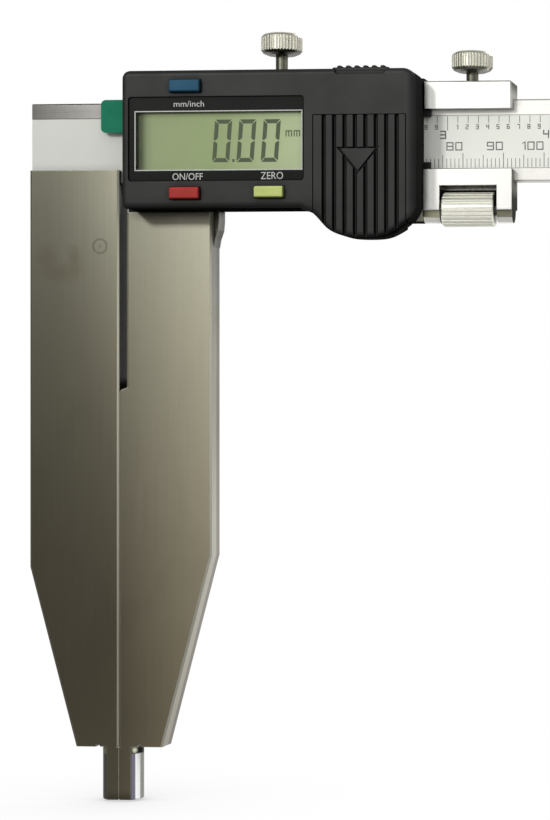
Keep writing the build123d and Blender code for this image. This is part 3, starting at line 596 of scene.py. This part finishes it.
# clear window: a thin pane that lets light straight through and mirrors a little
n = Net("window")
tr_ = n.t.nodes.new("ShaderNodeBsdfTransparent")
tr_.inputs[0].default_value = (0.97, 0.98, 0.96, 1)
gl_ = n.t.nodes.new("ShaderNodeBsdfGlossy")
n.link(n.remap(n.noise(0.6, 3), 0.3, 0.7, 0.04, 0.10), gl_.inputs["Roughness"])
n.link(n.bump(n.noise(0.4, 2), 0.002), gl_.inputs["Normal"])
lw_ = n.t.nodes.new("ShaderNodeLayerWeight")
lw_.inputs[0].default_value = 0.15
ms_ = n.t.nodes.new("ShaderNodeMixShader")
n.link(n.math("MULTIPLY", lw_.outputs["Fresnel"], 0.6), ms_.inputs[0])
n.link(tr_.outputs[0], ms_.inputs[1])
n.link(gl_.outputs[0], ms_.inputs[2])
n.link(ms_.outputs[0], n.out.inputs[0])
m_window = n.mat

give(m_jaw_fixed, "fixed_jaw")
give(m_jaw, "sliding_jaw")
give(m_beam, "beam")
give(m_block, "fine_block", "beam_end_stop")
give(m_pin, "fixed_jaw_pins", "fine_screw_pin")
give(m_screw, "end_stop_screws", "gib_screws", "board_screws", "housing_screws", "fine_screw")
give(m_nickel, "lock_screw", "block_lock_screw", "battery", "battery_contacts")
give(m_nut, "fine_nut")
give(m_brass, "lock_pad", "block_lock_pad", "gib_strip", "port_contacts")
give(m_house, "front_housing")
give(m_bezel, "display_bezel")
give(m_door, "battery_door", "port_cover")
give(m_blue, "mm_inch_button")
give(m_red, "power_button")
give(m_yellow, "zero_button")
give(m_green, "pull_tab")
give(m_label, "ruler_label")
give(m_rear, "rear_label")
give(m_rubber, "beam_wiper", "zebra_connectors")
give(m_board, "circuit_board")
give(m_strip, "scale_strip")
give(m_chip, "control_chip", "tact_switches")
give(m_lcd, "lcd_panel")
give(m_window, "lcd_window")


# ==================================================== printed and drawn marks
def prisms(name, polys, y0, y1, mat, body):
    """Thin closed tablets: each polygon (x, z) in millimetres pushed from y0 to y1."""
    verts, faces = [], []
    for poly in polys:
        area2 = sum(poly[i][0] * poly[(i + 1) % len(poly)][1] - poly[(i + 1) % len(poly)][0] * poly[i][1]
                    for i in range(len(poly)))
        if area2 < 0:
            poly = poly[::-1]
        k, m = len(verts), len(poly)
        verts += [(x, y0, z) for x, z in poly] + [(x, y1, z) for x, z in poly]
        faces.append(list(range(k, k + m)))
        faces.append(list(range(k + 2 * m - 1, k + m - 1, -1)))
        for i in range(m):
            j = (i + 1) % m
            faces.append([k + j, k + i, k + m + i, k + m + j])
    return mesh_piece(name, verts, faces, mat, body)


def rect(x0, x1, z0, z1):
    return [(x0, z0), (x1, z0), (x1, z1), (x0, z1)]


SEG = {"0": "abcdef", "1": "bc", "2": "abged", "3": "abgcd", "4": "fgbc", "5": "afgcd", "6": "afgecd", "7": "abc",
       "8": "abcdefg", "9": "abcdfg"}


def square_digit(ch, x, z, w, h, t):
    """A drawn square-cornered digit, lower left corner at x, z. Its strokes meet without overlapping."""
    on, out = SEG[ch], []
    mid = z + h / 2
    if "a" in on:
        out.append(rect(x, x + w, z + h - t, z + h))
    if "d" in on:
        out.append(rect(x, x + w, z, z + t))
    if "g" in on:
        out.append(rect(x + (t if "e" in on and "f" in on else 0), x + w - (t if "b" in on and "c" in on else 0),
                        mid - t / 2, mid + t / 2))
    both_l, both_r = "e" in on and "f" in on, "b" in on and "c" in on
    lo, hi = (z + t if "d" in on else z), (z + h - t if "a" in on else z + h)
    gl, gh = (mid - t / 2, mid + t / 2) if "g" in on else (mid, mid)
    if both_l:
        out.append(rect(x, x + t, lo, hi))
    elif "f" in on:
        out.append(rect(x, x + t, gh, hi))
    elif "e" in on:
        out.append(rect(x, x + t, lo, gl))
    if both_r:
        out.append(rect(x + w - t, x + w, lo, hi))
    elif "b" in on:
        out.append(rect(x + w - t, x + w, gh, hi))
    elif "c" in on:
        out.append(rect(x + w - t, x + w, lo, gl))
    if ch == "1":
        out.append([(x + w - t - 0.32 * w, z + h - 0.30 * h), (x + w - t, z + h - 0.14 * h), (x + w - t, z + h),
                    (x + w - t - 0.32 * w, z + h - 0.20 * h)])
    return out


def number(text, right, z, w, h, t, gap):
    out, x = [], right
    for ch in reversed(text):
        out += square_digit(ch, x - w, z, w, h, t)
        x -= w + gap
    return out


n = Net("ruler_ink")
fade = n.noise(1.6, 3, 0.6)
m_ink = n.set(color=n.mix(n.remap(fade, 0.35, 0.7), srgb(58, 60, 58), srgb(128, 130, 126)), rough=0.5,
              normal=n.bump(n.noise(6.0, 2), 0.004))
LABEL_LO, LABEL_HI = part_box("ruler_label")
LY = LABEL_LO.y / MM
TOP, BOT = LABEL_HI.z / MM, LABEL_LO.z / MM
ZERO_X, LAST = 5.6, 390
ticks = []
for i in range(LAST + 1):
    h = 3.55 if i % 10 == 0 else (3.1 if i % 5 == 0 else 2.25)
    t = 0.085 if i % 10 == 0 else 0.07
    ticks.append(rect(ZERO_X + i - t, ZERO_X + i + t, BOT + 0.12, BOT + 0.12 + h))
inch = 25.4
for i in range(int(LAST / inch * 10) + 1):
    x = ZERO_X + i * inch / 10
    h = 3.5 if i % 10 == 0 else 1.75
    t = 0.085 if i % 10 == 0 else 0.07
    ticks.append(rect(x - t, x + t, TOP - 0.12 - h, TOP - 0.12))
prisms("ruler_ticks", ticks, LY - 0.012, LY, m_ink, "beam")
figures = []
for i in range(10, LAST + 1, 10):
    figures += number(str(i), ZERO_X + i - 0.15, BOT + 4.35, 1.75, 2.05, 0.26, 0.45)
for i in range(1, int(LAST / inch) + 1):
    figures += number(str(i), ZERO_X + i * inch - 0.35, TOP - 5.7, 1.5, 2.0, 0.3, 0.4)
prisms("ruler_figures", figures, LY - 0.012, LY, m_ink, "beam")
small = []
for i in range(int(LAST / inch * 10) + 1):
    if i % 10:
        small += number(str(i % 10), ZERO_X + i * inch / 10 + 0.1, TOP - 3.4, 0.72, 1.2, 0.2, 0.2)
prisms("ruler_small_figures", small, LY - 0.012, LY, m_ink, "beam")

# --------------------------------------------------------- display contents
n = Net("lcd_segments")
m_seg = n.set(color=n.mix(n.remap(n.noise(0.5, 2), 0.3, 0.7), srgb(62, 74, 46), srgb(72, 84, 54)), rough=0.45,
              normal=n.bump(n.noise(3.0, 2), 0.002))
SLANT = 0.075


def lcd_digit(x, z, w, h, t, g):
    """The six lit bars of a slanted zero, with mitred ends and gaps between them."""
    def s(px, pz):
        return (px + (pz - z) * SLANT, pz)
    m = z + h / 2
    out = [
        [s(x + g, z + h), s(x + w - g, z + h), s(x + w - g - t * 0.8, z + h - t), s(x + g + t * 0.8, z + h - t)],
        [s(x + g, z), s(x + w - g, z), s(x + w - g - t * 0.8, z + t), s(x + g + t * 0.8, z + t)],
        [s(x, m + g), s(x, z + h - g * 1.6), s(x + t, z + h - t - g), s(x + t, m + g + t * 0.5), s(x + t * 0.5, m + g)],
        [s(x, m - g), s(x, z + g * 1.6), s(x + t, z + t + g), s(x + t, m - g - t * 0.5), s(x + t * 0.5, m - g)],
        [s(x + w, m + g), s(x + w, z + h - g * 1.6), s(x + w - t, z + h - t - g), s(x + w - t, m + g + t * 0.5),
         s(x + w - t * 0.5, m + g)],
        [s(x + w, m - g), s(x + w, z + g * 1.6), s(x + w - t, z + t + g), s(x + w - t, m - g - t * 0.5),
         s(x + w - t * 0.5, m - g)],
    ]
    return out


LCD_LO, LCD_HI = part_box("lcd_panel")
CY_ = LCD_LO.y / MM
segs = []
for x in (25.75, 31.75, 37.75):
    segs += lcd_digit(x, 156.25, 4.25, 10.35, 1.02, 0.17)
segs.append(rect(30.75, 31.35, 156.3, 157.0))
prisms("lcd_digits", segs, CY_ - 0.015, CY_, m_seg, "slider")


def letter_m(x, z, w, h, t):
    out = [rect(x, x + t, z, z + h), rect(x + w / 2 - t / 2, x + w / 2 + t / 2, z, z + h - t), rect(x + w - t, x + w, z, z + h - t)]
    out.append(rect(x + t, x + w, z + h - t, z + h))
    return out


prisms("lcd_unit", letter_m(43.9, 162.35, 1.6, 1.5, 0.26) + letter_m(45.9, 162.35, 1.6, 1.5, 0.26),
       CY_ - 0.015, CY_, m_seg, "slider")

# white frame line and the key captions
n = Net("print_white")
m_white = n.set(color=n.mix(n.remap(n.noise(2.0, 3), 0.35, 0.7), srgb(206, 208, 204), srgb(176, 178, 174)), rough=0.5,
                normal=n.bump(n.noise(6.0, 2), 0.003))
BZ_LO, BZ_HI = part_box("display_bezel")
BY = BZ_LO.y / MM
wx0, wx1, wz0, wz1, lw = 7.15, 48.08, 154.42, 168.45, 0.25
prisms("window_line", [rect(wx0 - lw, wx1 + lw, wz1, wz1 + lw), rect(wx0 - lw, wx1 + lw, wz0 - lw, wz0),
                       rect(wx0 - lw, wx0, wz0, wz1), rect(wx1, wx1 + lw, wz0, wz1)],
       BY - 0.012, BY, m_white, "slider")


def caption(name, text, x0, x1, z, height, y, mat, body):
    cu = bpy.data.curves.new(name, "FONT")
    cu.body = text
    cu.size = 1.0
    cu.resolution_u = 3
    o = bpy.data.objects.new(name, cu)
    scene.collection.objects.link(o)
    bpy.context.view_layer.update()
    me = bpy.data.meshes.new_from_object(o.evaluated_get(bpy.context.evaluated_depsgraph_get()))
    bpy.data.objects.remove(o)
    xs = [v.co.x for v in me.vertices]
    ys = [v.co.y for v in me.vertices]
    kx, kz = (x1 - x0) / (max(xs) - min(xs)), height / (max(ys) - min(ys))
    bm = bmesh.new()
    bm.from_mesh(me)
    bmesh.ops.remove_doubles(bm, verts=bm.verts, dist=1e-5)
    for v in bm.verts:
        v.co = Vector(((x0 + (v.co.x - min(xs)) * kx) * MM, y * MM, (z + (v.co.y - min(ys)) * kz) * MM))
    for f in bm.faces:
        f.normal_update()
        if f.normal.y > 0:
            f.normal_flip()
    made = bmesh.ops.extrude_face_region(bm, geom=bm.faces[:])
    for v in [g for g in made["geom"] if isinstance(g, bmesh.types.BMVert)]:
        v.co.y -= 0.012 * MM
    bmesh.ops.recalc_face_normals(bm, faces=bm.faces[:])
    bm.to_mesh(me)
    bm.free()
    me.materials.clear()
    me.materials.append(mat)
    p = bpy.data.objects.new(name, me)
    scene.collection.objects.link(p)
    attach(p, body)
    return p


caption("caption_unit", "mm/inch", 16.6, 24.1, 169.65, 1.45, BY, m_white, "slider")
caption("caption_power", "ON/OFF", 16.3, 23.8, 151.9, 1.65, BY, m_white, "slider")
caption("caption_zero", "ZERO", 38.1, 43.6, 151.95, 1.75, BY, m_white, "slider")

# =================================================================== stage
scene.view_settings.view_transform = "Standard"
scene.view_settings.look = "None"
scene.view_settings.exposure = 0.0


class Shade:
    """Short way to wire plain emission trees for the floor and the studio."""

    def __init__(self, tree):
        self.t = tree
        tree.nodes.clear()

    def new(self, kind, **kw):
        node = self.t.nodes.new(kind)
        for k, v in kw.items():
            setattr(node, k, v)
        return node

    def dot(self, vec, c):
        c = Vector(c).normalized()
        d = self.new("ShaderNodeVectorMath", operation="DOT_PRODUCT")
        self.t.links.new(vec, d.inputs[0])
        d.inputs[1].default_value = c
        return d.outputs["Value"]

    def ease(self, v, a, b, c=0.0, d=1.0):
        m = self.new("ShaderNodeMapRange", interpolation_type="SMOOTHSTEP")
        self.t.links.new(v, m.inputs[0])
        for i, x in enumerate((a, b, c, d)):
            m.inputs[i + 1].default_value = x
        return m.outputs[0]

    def mix(self, f, a, b):
        m = self.new("ShaderNodeMix", data_type="RGBA")
        self.t.links.new(f, m.inputs[0])
        for k, x in ((6, a), (7, b)):
            if isinstance(x, bpy.types.NodeSocket):
                self.t.links.new(x, m.inputs[k])
            else:
                m.inputs[k].default_value = tuple(x[:3]) + (1,)
        return m.outputs[2]


def grey(v, warm=0.0):
    return (v * (1 + warm), v, v * (1 - 1.6 * warm), 1)


# the floor: an even pale sheet with a painted contact shadow where the tool stands on it; to reflected and bounced rays
# it glows at set grey levels as part of the studio light
fl = bpy.data.materials.new("floor_paper")
fl.use_nodes = True
fl.cycles.emission_sampling = "NONE"
S = Shade(fl.node_tree)
fo = S.new("ShaderNodeOutputMaterial")
fe = S.new("ShaderNodeEmission")
S.t.links.new(fe.outputs[0], fo.inputs[0])
lp = S.new("ShaderNodeLightPath")
gm = S.new("ShaderNodeNewGeometry")
occ = S.new("ShaderNodeAmbientOcclusion")
occ.samples = 8
occ.inputs["Distance"].default_value = 0.06
tooth = S.new("ShaderNodeTexNoise")
tooth.inputs["Scale"].default_value = 700
seen = S.mix(S.ease(occ.outputs["AO"], 0.2, 1.0), grey(0.62), grey(1.0))
seen = S.mix(S.ease(tooth.outputs[0], 0.3, 0.7, 0.0, 0.012), seen, grey(0.9))
sp = S.new("ShaderNodeSeparateXYZ")
S.t.links.new(gm.outputs["Position"], sp.inputs[0])
steep = S.new("ShaderNodeSeparateXYZ")
S.t.links.new(gm.outputs["Incoming"], steep.inputs[0])
bounce_glossy = S.mix(S.ease(sp.outputs[1], -0.12, -0.26), grey(0.52, 0.01), grey(0.075, 0.06))
bounce_glossy = S.mix(S.ease(steep.outputs[2], 0.22, 0.40), bounce_glossy, grey(1.1))
bounce_glossy = S.mix(S.ease(steep.outputs[2], 0.50, 0.70), bounce_glossy, grey(0.50, 0.01))
bounce = S.mix(lp.outputs["Is Glossy Ray"], grey(0.22, 0.02), bounce_glossy)
S.t.links.new(S.mix(lp.outputs["Is Camera Ray"], bounce, seen), fe.inputs[0])
me = bpy.data.meshes.new("floor")
me.from_pydata([(-12, -12, 0), (12, -12, 0), (12, 12, 0), (-12, 12, 0)], [], [[0, 1, 2, 3]])
floor = bpy.data.objects.new("floor", me)
floor.location = (0.2, 0, -0.0004)
me.materials.append(fl)
scene.collection.objects.link(floor)

# ------------------------------------------------------------------- world
world = bpy.data.worlds.new("studio")
scene.world = world
world.use_nodes = True
world.cycles.sampling_method = "NONE"
W = Shade(world.node_tree)
wo = W.new("ShaderNodeOutputWorld")
bg = W.new("ShaderNodeBackground")
W.t.links.new(bg.outputs[0], wo.inputs[0])
tc = W.new("ShaderNodeTexCoord")
way = tc.outputs["Generated"]
lpw = W.new("ShaderNodeLightPath")
# what polished metal mirrors: a wide soft panel in front, grey walls, a dark corner low on the left
g = W.mix(W.ease(W.dot(way, (1, 0.25, 0.1)), -0.9, 0.9), grey(0.20, 0.03), grey(0.55, 0.01))
g = W.mix(W.ease(W.dot(way, (0.15, -0.95, 0.25)), 0.865, 0.955), g, grey(1.15, 0.004))
g = W.mix(W.ease(W.dot(way, (-0.42, -0.88, -0.20)), 0.93, 0.985), g, grey(0.06, 0.08))
g = W.mix(W.ease(W.dot(way, (0.999, 0.035, 0.0)), 0.955, 0.985), g, grey(1.7))
g = W.mix(W.ease(W.dot(way, (-0.25, 0.95, 0.1)), 0.70, 0.93), g, grey(1.35))
g = W.mix(W.ease(W.dot(way, (0, 0, 1)), 0.55, 0.9), g, grey(0.35))
# what lights the matt surfaces
d = W.mix(W.ease(W.dot(way, (0.2, -0.88, 0.42)), 0.0, 0.9), grey(0.17), grey(1.0))
d = W.mix(W.ease(W.dot(way, (0.1, 0.75, 0.65)), 0.4, 0.95), d, grey(0.5))
lit = W.mix(lpw.outputs["Is Glossy Ray"], d, g)
W.t.links.new(W.mix(lpw.outputs["Is Camera Ray"], lit, grey(1.0)), bg.inputs[0])


def area(name, loc, target, size, power, color=(1, 1, 1)):
    l = bpy.data.lights.new(name, "AREA")
    l.shape = "RECTANGLE"
    l.size, l.size_y = size
    l.energy = power
    l.color = color
    o = bpy.data.objects.new(name, l)
    o.location = loc
    o.rotation_euler = (Vector(target) - Vector(loc)).to_track_quat("-Z", "Y").to_euler()
    scene.collection.objects.link(o)
    o.visible_camera = False
    return o


area("key", (-0.42, -1.06, 0.57), (0.04, 0, 0.14), (0.16, 0.16), 5.5, (1.0, 0.995, 0.97))
area("back_fill", (0.7, 1.1, 0.9), (0.1, 0, 0.12), (0.8, 0.6), 9, (1.0, 1.0, 1.0))

# ------------------------------------------------------------------ camera
cam_data = bpy.data.cameras.new("camera")
cam = bpy.data.objects.new("camera", cam_data)
scene.collection.objects.link(cam)
scene.camera = cam
F_PX, CX, CY = 2648.96, 703.90, 415.0
CAM = (0.19957, -0.6425, 0.09494)
cam_data.sensor_width = 36.0
cam_data.lens = F_PX / 820 * 36.0
cam.location = CAM
cam.rotation_euler = (math.radians(90), 0, math.radians(4.9))
cam_data.clip_start, cam_data.clip_end = 0.01, 50
# the view is an off-centre crop; the offset holds only while the camera stands at its own place
for path, value in (("shift_x", (275 - CX) / 820.0), ("shift_y", (CY - 410) / 820.0)):
    setattr(cam_data, path, value)
    d = cam_data.driver_add(path).driver
    d.type = "SCRIPTED"
    v = d.variables.new()
    v.name = "y"
    v.type = "TRANSFORMS"
    v.targets[0].id = cam
    v.targets[0].transform_type = "LOC_Y"
    v.targets[0].transform_space = "WORLD_SPACE"
    d.expression = f"{value:.6f} if abs(y + {-CAM[1]:.6f}) < 0.0002 else 0.0"
# as the head slides out along the beam, the camera draws back so that the open tool stays in view
tr = cam.constraints.new("TRANSFORM")
tr.target = frame["bodies"]["slider"]
tr.map_from = "LOCATION"
tr.from_min_x, tr.from_max_x = 0.0, 0.3
tr.map_to = "LOCATION"
tr.map_to_x_from = "X"
tr.map_to_y_from = "X"
tr.map_to_z_from = "X"
tr.to_min_x, tr.to_max_x = 0.0, 0.19
tr.to_min_y, tr.to_max_y = 0.0, -1.62
tr.to_min_z, tr.to_max_z = 0.0, 0.0
tr.target_space = "WORLD"
tr.owner_space = "WORLD"
